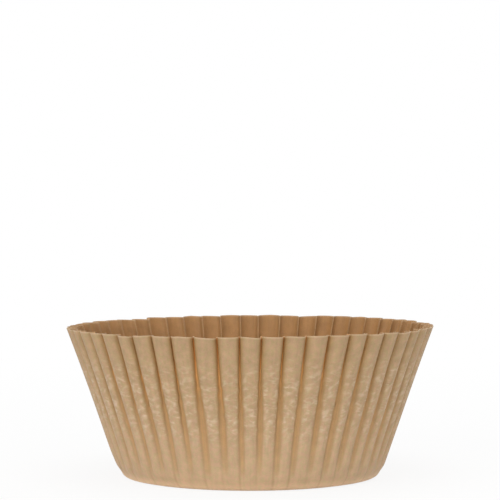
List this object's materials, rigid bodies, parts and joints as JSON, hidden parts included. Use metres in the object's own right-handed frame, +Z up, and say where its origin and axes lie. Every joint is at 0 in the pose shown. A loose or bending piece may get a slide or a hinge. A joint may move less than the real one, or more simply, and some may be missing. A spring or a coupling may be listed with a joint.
{
  "type": "cupcake liner",
  "caption": "Pleated brown greaseproof paper baking cup with a flat round base and a flared, fluted wall, open at the top.",
  "frame": {"origin": "centre of the underside of the base", "axes": "+Z up along the liner's axis, from the base to the open rim; +X through the middle of a flute"},
  "size_m": [0.073, 0.073, 0.03],
  "materials": {
    "kraft_paper": "unbleached greaseproof kraft paper, matt, finely mottled, darker in the folds"
  },
  "bodies": {
    "root": {"liner": "kraft_paper"}
  },
  "joints": []
}
